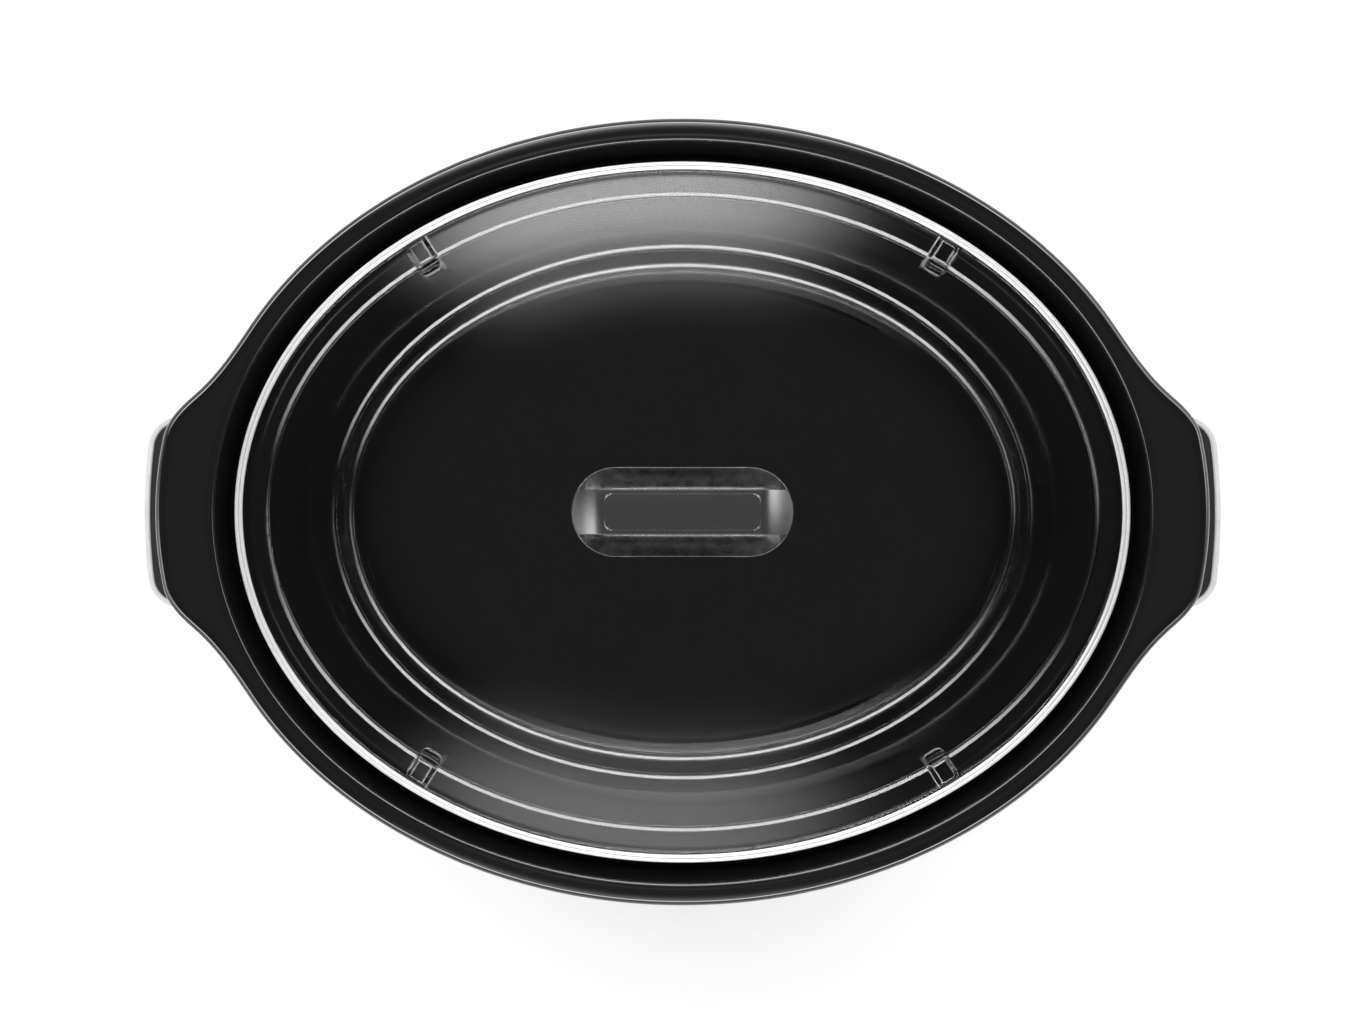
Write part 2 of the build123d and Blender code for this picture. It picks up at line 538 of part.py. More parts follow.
def make_lid_knob():
    stadium = SlotOverall(KNOB_LENGTH, KNOB_WIDTH)
    base = Pos(0, 0, KNOB_BASE) * extrude(stadium, KNOB_EDGE)
    end = KNOB_LENGTH / 2
    bar_top, end_top = KNOB_BASE + KNOB_HEIGHT - PAD_HEIGHT, KNOB_BASE + KNOB_EDGE
    flat = BAR_FLAT / 2
    shoulder = ((flat + end) / 2 + 1.2, bar_top - BAR_END_DROP * 0.28)
    curve_r = ThreePointArc((flat, bar_top), shoulder, (end, bar_top - BAR_END_DROP))
    curve_l = ThreePointArc((-end, bar_top - BAR_END_DROP), (-shoulder[0], shoulder[1]), (-flat, bar_top))
    sides = Polyline((end, bar_top - BAR_END_DROP), (end, KNOB_BASE), (-end, KNOB_BASE),
                     (-end, bar_top - BAR_END_DROP))
    profile = make_face(Curve() + [Line((-flat, bar_top), (flat, bar_top)), curve_r, sides, curve_l])
    bar = extrude(Plane.XZ * profile, BAR_WIDTH / 2, both=True)
    bar &= Pos(0, 0, KNOB_BASE) * extrude(stadium, KNOB_HEIGHT)
    scoop_arc = ThreePointArc((-WELL_REACH, end_top), (0, end_top - WELL_DEPTH), (WELL_REACH, end_top))
    scoop = make_face(Curve() + [scoop_arc, Line((WELL_REACH, end_top), (-WELL_REACH, end_top))])
    for side in (-1, 1):
        well = extrude(Plane.XZ * scoop, KNOB_WIDTH / 4, both=True)
        base -= Pos(0, side * (BAR_WIDTH / 2 + KNOB_WIDTH / 4), 0) * well
    pad_outline = RectangleRounded(PAD_LENGTH, PAD_WIDTH, 3.0)
    pad = Pos(0, 0, bar_top) * extrude(pad_outline, PAD_HEIGHT)
    knob = base + bar + pad
    knob -= rod((0, 0, KNOB_BASE), (0, 0, 1), INSERT_RADIUS, INSERT_LENGTH)
    return knob


def make_knob_insert():
    sleeve = rod((0, 0, KNOB_BASE), (0, 0, 1), INSERT_RADIUS, INSERT_LENGTH)
    return sleeve - rod((0, 0, KNOB_BASE), (0, 0, 1), LID_SCREW, INSERT_LENGTH)


def make_knob_gasket():
    pad = Pos(0, 0, KNOB_BASE - GASKET_THICK) * extrude(SlotOverall(74, 25), GASKET_THICK)
    return pad - rod((0, 0, KNOB_BASE - GASKET_THICK), (0, 0, 1), LID_SCREW + FIT, GASKET_THICK)


def make_lid_washer():
    under = glass_top(GLASS_PROFILE[-1][2]) - GLASS_THICK
    disc = rod((0, 0, under), (0, 0, -1), 9.0, 1.0)
    return disc - rod((0, 0, under), (0, 0, -1), LID_SCREW + FIT, 1.0)


def make_lid_screw():
    head_top = glass_top(GLASS_PROFILE[-1][2]) - GLASS_THICK - 1.0
    head = rod((0, 0, head_top), (0, 0, -1), LID_SCREW_HEAD, 2.6)
    head = fillet([e for e in head.edges() if abs(e.center().Z - head_top + 2.6) < 0.01], 1.2)
    head -= Pos(0, 0, head_top - 2.6) * Box(9, 1.2, 2.0)
    return head + rod((0, 0, head_top), (0, 0, 1), LID_SCREW, KNOB_BASE + 9 - head_top)


NODES = {
    "rubber_feet": make_rubber_feet(),
    "bottom_plate": make_bottom_plate(),
    "bottom_plate_screws": make_plate_screws(),
    "base_ring": make_base_ring(),
    "outer_housing": make_outer_housing(),
    "heater_liner": make_heater_liner(),
    "band_heater": band_around_liner(*HEATER),
    "heater_straps": Compound([band_around_liner(*strap) for strap in STRAPS]),
    "insulation_blanket": band_around_liner(*BLANKET),
    "centre_bolt": make_centre_bolt(),
    "centre_spacer": make_centre_spacer(),
    "centre_nut": make_centre_nut(),
    "thermal_fuse": make_thermal_fuse(),
    "terminal_block": make_terminal_block(),
    "earth_screw": make_earth_screw(),
    "wiring_leads": make_wiring_leads(),
    "left_handle": make_handle(-1),
    "right_handle": make_handle(1),
    "left_handle_trim": make_handle_trim(-1),
    "right_handle_trim": make_handle_trim(1),
    "handle_screws": make_handle_screws(),
    "control_panel": make_control_panel(),
    "switch_body": make_switch_body(),
    "switch_nut": make_switch_nut(),
    "switch_shaft": make_switch_shaft(),
    "control_knob": make_control_knob(),
    "knob_pointer": make_knob_pointer(),
    "cord_gland": make_cord_gland(),
    "crock": make_crock(),
    "glass_lid": make_glass_lid(),
    "lid_rim_band": make_lid_rim_band(),
    "lid_knob": make_lid_knob(),
    "knob_insert": make_knob_insert(),
    "knob_gasket": make_knob_gasket(),
    "lid_washer": make_lid_washer(),
    "lid_screw": make_lid_screw(),
}

os.makedirs("parts", exist_ok=True)
for name, shape in NODES.items():
    export_step(shape, f"parts/{name}.step")
    print(name, round(sum(solid.volume for solid in shape.solids())))
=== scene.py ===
import json
from math import atan2, copysign, cos, dist, hypot, pi, radians, sin, sqrt

import bmesh
import bpy
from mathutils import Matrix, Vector


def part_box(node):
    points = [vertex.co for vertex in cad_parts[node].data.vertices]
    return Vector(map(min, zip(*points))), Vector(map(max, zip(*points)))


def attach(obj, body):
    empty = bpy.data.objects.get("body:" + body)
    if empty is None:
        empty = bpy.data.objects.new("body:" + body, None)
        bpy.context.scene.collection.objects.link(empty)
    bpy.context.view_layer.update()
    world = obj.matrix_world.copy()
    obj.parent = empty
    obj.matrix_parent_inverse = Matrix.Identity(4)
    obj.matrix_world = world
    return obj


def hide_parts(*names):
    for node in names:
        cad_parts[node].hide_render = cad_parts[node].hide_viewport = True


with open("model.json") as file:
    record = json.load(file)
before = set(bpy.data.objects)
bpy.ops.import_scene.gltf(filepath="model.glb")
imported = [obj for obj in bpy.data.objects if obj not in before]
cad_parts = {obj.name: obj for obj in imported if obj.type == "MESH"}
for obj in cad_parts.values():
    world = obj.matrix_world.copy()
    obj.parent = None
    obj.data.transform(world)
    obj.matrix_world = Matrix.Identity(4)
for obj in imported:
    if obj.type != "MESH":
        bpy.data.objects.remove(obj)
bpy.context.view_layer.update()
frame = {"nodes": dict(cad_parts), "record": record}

# An oval slow cooker, seen from straight above. Outlines are in millimetres and become metres in add_piece.
# An oval is given by its half length and half width (a, b). +X is along the oval, -Y is the front, +Z is up.

nodes = frame["nodes"]
MM = 0.001


# ---------------------------------------------------------------- camera, light and floor

CAMERA_HEIGHT = 1.904           # metres above the crock's rim
LENS = 135.0
OVERHEAD_HEIGHT, OVERHEAD_SIZE, OVERHEAD_WATTS = 2.6, 3.0, 48.0
FLOOR_HALF, FLOOR_GREY = 30.0, 0.56

# The studio's brightness as (height, brightness), from the horizon, 0, to straight overhead, 1.
PEAK = 14.0
BACK_LIGHT = [
    (0.0, 0.7), (0.28, 0.9), (0.36, 3.0), (0.45, PEAK), (0.54, PEAK), (0.62, 5.2), (0.72, 5.8), (0.77, 5.2),
    (0.8, 4.0), (0.83, 2.8), (0.86, 1.6), (0.914, 0.8), (0.956, 0.42), (0.985, 0.2), (1.0, 0.14)]
FRONT_LIGHT = [
    (0.0, 0.7), (0.28, 0.8), (0.36, 2.5), (0.45, 13.0), (0.54, 13.0), (0.62, 2.3), (0.77, 2.1), (0.83, 1.5),
    (0.86, 0.9), (0.914, 0.45), (0.956, 0.28), (0.985, 0.18), (1.0, 0.14)]
SIDE_LIGHT = [
    (0.0, 0.9), (0.1, 1.4), (0.18, 4.2), (0.34, 4.2), (0.41, 0.3), (0.47, 0.14), (0.57, 0.14), (0.62, 0.12),
    (0.9, 0.07), (1.0, 0.14)]

# Pairs are where a fade starts and where it ends.
LEAN = 0.12                                         # how far both panels stand to the left
WIDE_FADE, NARROW_FADE = (0.3, 0.85), (0.74, 1.01)  # across a panel, from its side, 0, to its middle, 1
NARROWING = (0.56, 0.66)                            # the heights where a wide panel becomes a narrow one
CORNER_FADE, CORNER_GAIN = (-0.15, 0.15), 1.6
CORNER_HEIGHT = (0.6, 0.45)


def set_camera():
    rim_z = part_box("crock")[1].z
    data = bpy.data.cameras.new("camera")
    data.lens = LENS
    data.sensor_width = 36.0
    data.clip_end = 50.0
    camera = bpy.data.objects.new("camera", data)
    camera.location = (0.0, 0.0, rim_z + CAMERA_HEIGHT)
    bpy.context.scene.collection.objects.link(camera)
    bpy.context.scene.camera = camera
    bpy.context.scene.view_settings.view_transform = "Standard"


def maths(tree, operation, first, second=None):
    node = tree.nodes.new("ShaderNodeMath")
    node.operation = operation
    for socket, value in zip(node.inputs, (first, second)):
        if isinstance(value, bpy.types.NodeSocket):
            tree.links.new(value, socket)
        elif value is not None:
            socket.default_value = value
    return node.outputs[0]


def ramp(tree, value, stops):
    """Turns a 0-1 value into a brightness through stops given as (place, brightness)."""
    node = tree.nodes.new("ShaderNodeValToRGB")
    elements = node.color_ramp.elements
    while len(elements) < len(stops):
        elements.new(0.5)
    for element, (place, brightness) in zip(elements, stops):
        element.position = place
        element.color = (*3 * (brightness / PEAK,), 1)
    tree.links.new(value, node.inputs[0])
    return maths(tree, "MULTIPLY", node.outputs[0], PEAK)


def share(tree, value, start, end):
    """0 at start and 1 at end, with soft ends."""
    node = tree.nodes.new("ShaderNodeMapRange")
    node.interpolation_type = "SMOOTHSTEP"
    node.inputs["From Min"].default_value = start
    node.inputs["From Max"].default_value = end
    tree.links.new(value, node.inputs["Value"])
    return node.outputs["Result"]


def panel_share(tree, across, depth, flat, height, side):
    """How much of a panel's light comes from a direction. side is 1 for the back panel, -1 for the front.
    The panel is wide near the horizon and narrow higher up."""
    ahead = maths(tree, "MULTIPLY", depth, side)
    leaning = maths(tree, "SUBTRACT", ahead, maths(tree, "MULTIPLY", across, LEAN))
    facing = maths(tree, "DIVIDE", leaning, flat)
    wide = share(tree, facing, *WIDE_FADE)
    narrow = maths(tree, "POWER", share(tree, facing, *NARROW_FADE), 4.0)
    high = share(tree, height, *NARROWING)
    return maths(tree, "ADD", wide, maths(tree, "MULTIPLY", high, maths(tree, "SUBTRACT", narrow, wide)))


def set_studio():
    """Light by direction: a dark ceiling, a large soft panel behind, a weaker one in front, and at each
    side only a low one, stronger towards two opposite corners. 1.0001 keeps flat above 0 overhead."""
    world = bpy.data.worlds.new("studio")
    bpy.context.scene.world = world
    world.use_nodes = True
    tree = world.node_tree
    split = tree.nodes.new("ShaderNodeSeparateXYZ")
    tree.links.new(tree.nodes.new("ShaderNodeTexCoord").outputs["Generated"], split.inputs[0])
    across, depth, height = split.outputs
    flat = maths(tree, "SQRT", maths(tree, "SUBTRACT", 1.0001, maths(tree, "MULTIPLY", height, height)))
    back, front, side = (ramp(tree, height, stops) for stops in (BACK_LIGHT, FRONT_LIGHT, SIDE_LIGHT))
    corner = maths(tree, "MULTIPLY", across, depth)
    corner = maths(tree, "DIVIDE", corner, maths(tree, "MULTIPLY", flat, flat))
    skew = maths(tree, "SUBTRACT", share(tree, corner, *CORNER_FADE), 0.5)
    skew = maths(tree, "MULTIPLY", skew, CORNER_GAIN)
    skew = maths(tree, "MULTIPLY", skew, share(tree, height, *CORNER_HEIGHT))
    side = maths(tree, "MULTIPLY", side, maths(tree, "ADD", skew, 1.0))
    to_back = panel_share(tree, across, depth, flat, height, 1.0)
    to_front = panel_share(tree, across, depth, flat, height, -1.0)
    to_side = maths(tree, "SUBTRACT", maths(tree, "SUBTRACT", 1.0, to_back), to_front)
    total = maths(tree, "MULTIPLY", side, to_side)
    for panel, amount in ((back, to_back), (front, to_front)):
        total = maths(tree, "ADD", total, maths(tree, "MULTIPLY", panel, amount))
    tree.links.new(total, tree.nodes["Background"].inputs["Strength"])
    tree.nodes["Background"].inputs["Color"].default_value = (1.0, 1.0, 1.0, 1)

    data = bpy.data.lights.new("overhead", "AREA")
    data.shape = "DISK"
    data.size = OVERHEAD_SIZE
    data.energy = OVERHEAD_WATTS
    lamp = bpy.data.objects.new("overhead", data)
    lamp.location = (0.0, 0.0, OVERHEAD_HEIGHT)
    lamp.visible_glossy = False
    lamp.visible_transmission = False
    lamp.visible_camera = False
    bpy.context.scene.collection.objects.link(lamp)


def set_floor():
    mesh = bpy.data.meshes.new("floor")
    corners = [(FLOOR_HALF * x, FLOOR_HALF * y, 0) for x, y in ((-1, -1), (1, -1), (1, 1), (-1, 1))]
    mesh.from_pydata(corners, [], [(0, 1, 2, 3)])
    floor = bpy.data.objects.new("floor", mesh)
    bpy.context.scene.collection.objects.link(floor)
    paint, shader = new_material("pale_floor", (FLOOR_GREY,) * 3, roughness=0.75)
    shader.inputs["Specular IOR Level"].default_value = 0.1
    add_bump(paint, shader, scale=180.0, strength=0.03, distance=0.001)
    mesh.materials.append(paint)


# ---------------------------------------------------------------- materials

def new_material(name, colour, roughness=0.5, metallic=0.0):
    material = bpy.data.materials.new(name)
    material.use_nodes = True
    shader = material.node_tree.nodes["Principled BSDF"]
    shader.inputs["Base Color"].default_value = (*colour, 1)
    shader.inputs["Roughness"].default_value = roughness
    shader.inputs["Metallic"].default_value = metallic
    return material, shader


def object_coordinates(tree, stretch=(1, 1, 1)):
    coordinates = tree.nodes.new("ShaderNodeTexCoord").outputs["Object"]
    if stretch == (1, 1, 1):
        return coordinates
    mapping = tree.nodes.new("ShaderNodeMapping")
    mapping.inputs["Scale"].default_value = stretch
    tree.links.new(coordinates, mapping.inputs["Vector"])
    return mapping.outputs["Vector"]


def noise(tree, scale, detail=3.0, stretch=(1, 1, 1), rough=0.55):
    node = tree.nodes.new("ShaderNodeTexNoise")
    node.inputs["Scale"].default_value = scale
    node.inputs["Detail"].default_value = detail
    node.inputs["Roughness"].default_value = rough
    tree.links.new(object_coordinates(tree, stretch), node.inputs["Vector"])
    return node.outputs["Fac"]


def spread(tree, value, low, high, start=0.3, end=0.7):
    """Maps a pattern to run from low, where it is at start, to high, where it is at end."""
    node = tree.nodes.new("ShaderNodeMapRange")
    node.inputs["From Min"].default_value = start
    node.inputs["From Max"].default_value = end
    node.inputs["To Min"].default_value = low
    node.inputs["To Max"].default_value = high
    tree.links.new(value, node.inputs["Value"])
    return node.outputs["Result"]


def vary_roughness(material, shader, low, high, scale, detail=4.0):
    tree = material.node_tree
    pattern = noise(tree, scale, detail)
    tree.links.new(spread(tree, pattern, low, high), shader.inputs["Roughness"])


def vary_colour(material, shader, dark, pale, scale, detail=3.0, stretch=(1, 1, 1)):
    tree = material.node_tree
    mix = tree.nodes.new("ShaderNodeMix")
    mix.data_type = "RGBA"
    mix.inputs["A"].default_value = (*dark, 1)
    mix.inputs["B"].default_value = (*pale, 1)
    pattern = spread(tree, noise(tree, scale, detail, stretch), 0.0, 1.0)
    tree.links.new(pattern, mix.inputs["Factor"])
    tree.links.new(mix.outputs["Result"], shader.inputs["Base Color"])


def bump_from(material, shader, height, strength, distance):
    """Adds a bump layer from a height pattern, under any layer that is there already."""
    tree = material.node_tree
    node = tree.nodes.new("ShaderNodeBump")
    node.inputs["Strength"].default_value = strength
    node.inputs["Distance"].default_value = distance
    tree.links.new(height, node.inputs["Height"])
    if shader.inputs["Normal"].is_linked:
        tree.links.new(shader.inputs["Normal"].links[0].from_socket, node.inputs["Normal"])
    tree.links.new(node.outputs["Normal"], shader.inputs["Normal"])


def add_bump(material, shader, scale, strength, distance, detail=2.0, stretch=(1, 1, 1)):
    bump_from(material, shader, noise(material.node_tree, scale, detail, stretch), strength, distance)


def glaze():
    """Deep gloss with the slow ripple of a fired glaze and a few dull patches."""
    material, shader = new_material("black_glaze", (0.003, 0.003, 0.003))
    shader.inputs["IOR"].default_value = 1.52
    vary_roughness(material, shader, 0.03, 0.08, scale=22.0)
    add_bump(material, shader, scale=38.0, strength=0.05, distance=0.0004, detail=0.0)
    return material


def shaded_recess_glaze():
    """Painted shade for the ledge that the lid sits on: a darker, duller copy of the glaze that stands in
    for the shade in the recess.
    """
    material, shader = new_material("shaded_recess_glaze", (0.0004, 0.0004, 0.0004))
    shader.inputs["Specular IOR Level"].default_value = 0.08
    vary_roughness(material, shader, 0.25, 0.4, scale=30.0)
    add_bump(material, shader, scale=200.0, strength=0.05, distance=0.0002)
    return material


def bare_stoneware():
    material, shader = new_material("bare_stoneware", (0.05, 0.045, 0.04), roughness=0.85)
    vary_colour(material, shader, (0.03, 0.028, 0.026), (0.09, 0.08, 0.07), scale=350.0, detail=6.0)
    add_bump(material, shader, scale=1400.0, strength=0.35, distance=0.0003, detail=5.0)
    return material


def clear_glass():
    """Glass with a grey tint, a painted shade that dims the crock's inside seen through it; clean but for a
    few finger smudges.
    """
    material, shader = new_material("lid_glass", (0.62, 0.63, 0.63))
    shader.inputs["Transmission Weight"].default_value = 1.0
    shader.inputs["IOR"].default_value = 1.5
    tree = material.node_tree
    smudges = spread(tree, noise(tree, 14.0, 4.0), 0.0, 0.02, 0.62, 0.78)
    tree.links.new(smudges, shader.inputs["Roughness"])
    add_bump(material, shader, scale=16.0, strength=0.01, distance=0.0003, detail=0.0)
    return material


def satin_steel():
    """The lid's rolled rim: polished, then dulled by fine handling scratches."""
    material, shader = new_material("rim_steel", (0.46, 0.46, 0.47), metallic=0.45)
    vary_roughness(material, shader, 0.14, 0.24, scale=60.0, detail=6.0)
    add_bump(material, shader, scale=700.0, strength=0.05, distance=0.0002, stretch=(0.2, 0.2, 1.0))
    return material


def silver_paint():
    """Metallic lacquer with fine flake, a little worn in the gloss."""
    material, shader = new_material("trim_silver", (0.62, 0.62, 0.63), metallic=0.55)
    vary_roughness(material, shader, 0.28, 0.42, scale=50.0, detail=5.0)
    vary_colour(material, shader, (0.58, 0.58, 0.59), (0.66, 0.66, 0.67), scale=1800.0, detail=2.0)
    add_bump(material, shader, scale=2200.0, strength=0.06, distance=0.0001)
    return material


def brushed_steel():
    """Stainless wall brushed around, with a faint smudge pattern over the brushing."""
    material, shader = new_material("housing_steel", (0.4, 0.4, 0.41), metallic=1.0)
    tree = material.node_tree
    lines = noise(tree, 1.0, 8.0, stretch=(9.0, 9.0, 1500.0), rough=0.8)
    smudge = noise(tree, 9.0, 4.0)
    mixed = maths(tree, "MULTIPLY_ADD", lines, 0.6)
    tree.links.new(maths(tree, "MULTIPLY", smudge, 0.4), mixed.node.inputs[2])
    tree.links.new(spread(tree, mixed, 0.2, 0.44), shader.inputs["Roughness"])
    tint = tree.nodes.new("ShaderNodeMix")
    tint.data_type = "RGBA"
    tint.inputs["A"].default_value = (0.25, 0.25, 0.26, 1)
    tint.inputs["B"].default_value = (0.4, 0.4, 0.41, 1)
    tree.links.new(spread(tree, lines, 0.0, 1.0, 0.35, 0.65), tint.inputs["Factor"])
    tree.links.new(tint.outputs["Result"], shader.inputs["Base Color"])
    bump_from(material, shader, lines, 0.12, 0.0002)
    shader.inputs["Anisotropic"].default_value = 0.5
    return material


def sheet_metal(name, colour, low, high):
    material, shader = new_material(name, colour, metallic=1.0)
    vary_roughness(material, shader, low, high, scale=90.0, detail=6.0)
    add_bump(material, shader, scale=260.0, strength=0.12, distance=0.0002, detail=4.0)
    return material


def spangled_plate():
    """Coated steel with the flat crystals of hot-dip plating."""
    material, shader = new_material("zinc_plate", (0.36, 0.37, 0.38), metallic=0.85)
    tree = material.node_tree
    cells = tree.nodes.new("ShaderNodeTexVoronoi")
    cells.inputs["Scale"].default_value = 130.0
    tree.links.new(object_coordinates(tree), cells.inputs["Vector"])
    grey = tree.nodes.new("ShaderNodeSeparateColor")
    tree.links.new(cells.outputs["Color"], grey.inputs[0])
    tree.links.new(spread(tree, grey.outputs[0], 0.34, 0.6, 0.0, 1.0), shader.inputs["Roughness"])
    bump_from(material, shader, grey.outputs[1], 0.05, 0.0002)
    return material


def moulded(name, colour, low, high, grain_scale, grain, specular=0.36):
    """Moulded plastic: fine spark-eroded grain, with handling marks in the gloss."""
    material, shader = new_material(name, colour)
    shader.inputs["Specular IOR Level"].default_value = specular
    tree = material.node_tree
    fine, broad = noise(tree, grain_scale, 3.0), noise(tree, 60.0, 6.0)
    mixed = maths(tree, "MULTIPLY_ADD", fine, 0.35)
    tree.links.new(maths(tree, "MULTIPLY", broad, 0.65), mixed.node.inputs[2])
    tree.links.new(spread(tree, mixed, low, high, 0.36, 0.62), shader.inputs["Roughness"])
    bump_from(material, shader, fine, grain, 0.00015)
    return material


def knob_well():
    """The finger wells of the knob, mottled by handling."""
    material, shader = new_material("knob_well", (0.012, 0.012, 0.012))
    vary_roughness(material, shader, 0.12, 0.4, scale=520.0)
    vary_colour(material, shader, (0.005, 0.005, 0.005), (0.034, 0.035, 0.036), scale=240.0, detail=6.0)
    add_bump(material, shader, scale=520.0, strength=0.12, distance=0.00015)
    return material


def rubber(name, colour=(0.022, 0.022, 0.022)):
    material, shader = new_material(name, colour)
    shader.inputs["Specular IOR Level"].default_value = 0.3
    vary_roughness(material, shader, 0.62, 0.85, scale=120.0)
    add_bump(material, shader, scale=1800.0, strength=0.2, distance=0.0002)
    return material


def fibre(name, dark, pale, stretch):
    material, shader = new_material(name, pale, roughness=0.9)
    vary_colour(material, shader, dark, pale, scale=300.0, detail=5.0, stretch=stretch)
    add_bump(material, shader, scale=420.0, strength=0.6, distance=0.0008, detail=4.0, stretch=stretch)
    shader.inputs["Sheen Weight"].default_value = 0.3
    return material


def ceramic():
    material, shader = new_material("white_ceramic", (0.8, 0.79, 0.75))
    vary_roughness(material, shader, 0.45, 0.65, scale=200.0)
    add_bump(material, shader, scale=1500.0, strength=0.15, distance=0.0001)
    return material


def printed_white():
    material, shader = new_material("pale_inlay", (0.82, 0.82, 0.8))
    vary_roughness(material, shader, 0.35, 0.5, scale=400.0)
    add_bump(material, shader, scale=1500.0, strength=0.1, distance=0.0001)
    return material


def make_materials():
    return {
        "black_glaze": glaze(),
        # painted shade: a darker, duller copy of the glaze for the recess under the lid
        "shaded_recess_glaze": shaded_recess_glaze(),
        "bare_stoneware": bare_stoneware(),
        "lid_glass": clear_glass(),
        "rim_steel": satin_steel(),
        "trim_silver": silver_paint(),
        "housing_steel": brushed_steel(),
        "liner_steel": sheet_metal("liner_steel", (0.5, 0.51, 0.52), 0.3, 0.5),
        "fastener_steel": sheet_metal("fastener_steel", (0.58, 0.58, 0.6), 0.22, 0.4),
        "brass_parts": sheet_metal("brass_parts", (0.72, 0.55, 0.25), 0.2, 0.38),
        "zinc_plate": spangled_plate(),
        "black_phenolic": moulded("black_phenolic", (0.013, 0.013, 0.0135), 0.13, 0.26, 1300.0, 0.05, 0.85),
        "knob_well": knob_well(),
        "black_plastic": moulded("black_plastic", (0.005, 0.005, 0.0053), 0.3, 0.46, 1500.0, 0.15, 0.3),
        "foot_rubber": rubber("foot_rubber"),
        "gland_rubber": rubber("gland_rubber", (0.018, 0.018, 0.018)),
        "gasket_silicone": rubber("gasket_silicone", (0.03, 0.03, 0.03)),
        "lead_silicone": rubber("lead_silicone", (0.62, 0.6, 0.56)),
        "heater_fibre": fibre("heater_fibre", (0.42, 0.36, 0.26), (0.66, 0.6, 0.48), (1, 1, 6)),
        "blanket_fibre": fibre("blanket_fibre", (0.6, 0.5, 0.28), (0.85, 0.78, 0.58), (1, 1, 1)),
        "white_ceramic": ceramic(),
        "pale_inlay": printed_white(),
    }


def dress_frame(materials):
    """Gives every CAD node the material of its slot."""
    for part in frame["record"]["subparts"]:
        mesh = nodes[part["node"]].data
        for index in range(len(mesh.materials)):
            mesh.materials[index] = materials[part["material_slot"]]


# ---------------------------------------------------------------- mesh tools

def add_piece(name, points, faces, body, slot, materials, replaced=(), sharp=40.0, extra=(), pick=None):
    """One closed mesh from points in mm. pick(face centre) gives the index of the face's material."""
    mesh = bpy.data.meshes.new(name)
    mesh.from_pydata([Vector(p) * MM for p in points], [], faces)
    work = bmesh.new()
    work.from_mesh(mesh)
    bmesh.ops.remove_doubles(work, verts=work.verts, dist=2e-6)
    bmesh.ops.dissolve_degenerate(work, edges=work.edges, dist=1e-6)
    bmesh.ops.recalc_face_normals(work, faces=work.faces)
    work.to_mesh(mesh)
    work.free()
    mesh.polygons.foreach_set("use_smooth", [True] * len(mesh.polygons))
    mesh.set_sharp_from_angle(angle=radians(sharp))
    for key in (slot, *extra):
        mesh.materials.append(materials[key])
    if pick:
        for face in mesh.polygons:
            face.material_index = pick(face.center / MM)
    piece = bpy.data.objects.new(name, mesh)
    bpy.context.scene.collection.objects.link(piece)
    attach(piece, body)
    if replaced:
        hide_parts(*replaced)


def skin(rings, capped=False):
    """Points and faces through rings of equal length. The last ring joins the first, or both are capped."""
    count = len(rings[0])
    points = [p for ring in rings for p in ring]
    faces = []
    for k in range(len(rings) - 1 if capped else len(rings)):
        low, high = k * count, ((k + 1) % len(rings)) * count
        for i in range(count):
            j = (i + 1) % count
            faces.append((low + i, low + j, high + j, high + i))
    if capped:
        last = (len(rings) - 1) * count
        faces.append(tuple(reversed(range(count))))
        faces.append(tuple(range(last, last + count)))
    return points, faces


def between(p, q, t):
    return tuple(u + (v - u) * t for u, v in zip(p, q))


def soft_step(value, edge, width):
    """0 below edge - width, 1 above edge + width."""
    t = min(max((value - edge) / (2 * width) + 0.5, 0.0), 1.0)
    return t * t * (3 - 2 * t)


def round_drop(t, radius):
    """How far a quarter circle of this radius has dropped: nothing at t 0, the whole radius at 1."""
    return radius * (1 - sqrt(max(1 - t * t, 0.0)))


def rounded(corners, steps=5):
    """A smooth line past corners given as (point, cut): each corner is rounded off from cut before it to cut
    after it, but at most nearly half way, and a support point keeps the straight stretches straight."""
    longest, support = 0.48, 0.04
    line = []
    for k, (point, cut) in enumerate(corners):
        if cut == 0 or k in (0, len(corners) - 1):
            line.append(point)
            continue
        before, after = corners[k - 1][0], corners[k + 1][0]
        start = between(point, before, min(cut / dist(point, before), longest))
        end = between(point, after, min(cut / dist(point, after), longest))
        line.append(between(start, before, support))
        for i in range(steps + 1):
            t = i / steps
            line.append(between(between(start, point, t), between(point, end, t), t))
        line.append(between(end, after, support))
    return line


def rise(start, end, first_slope, steps=10):
    """The points between start and end, both (a, b, z), along a curve. first_slope is the slope at the start
    over the mean slope: 1 is straight, 2 ends level."""
    line = []
    for i in range(1, steps):
        t = i / steps
        a, b, _ = between(start, end, t)
        bend = first_slope * t + (1 - first_slope) * t * t
        line.append((a, b, start[2] + (end[2] - start[2]) * bend))
    return line


# ---------------------------------------------------------------- lid

BAND_WIDTH, BAND_STEPS = 3.0, 400
BAND_LIP = 1.3                  # depth below the band's top where its section closes on the glass side
GLASS_THICK = 3.3
CROWN = 15.1                    # height of the lid's flat middle above its flange
MIDDLE = (60.0, 44.0)           # half size of the oval within which the underside is flat as well
SCREW_HOLE = 4.5
VENT_RADIUS, VENT_WIDTH, VENT_HEIGHT = 139.0, 7.0, 1.7
VENT_INNER, VENT_OUTER = -7.0, 3.0          # where a vent starts and ends, along it from its middle
SIDE_EDGE, INNER_EDGE, OUTER_EDGE = 1.3, 1.6, 0.5       # half widths of a vent's soft edges
VENT_STEP, VENT_STEPS = 0.16, 18            # degrees round the rim, and how many to each side of a vent


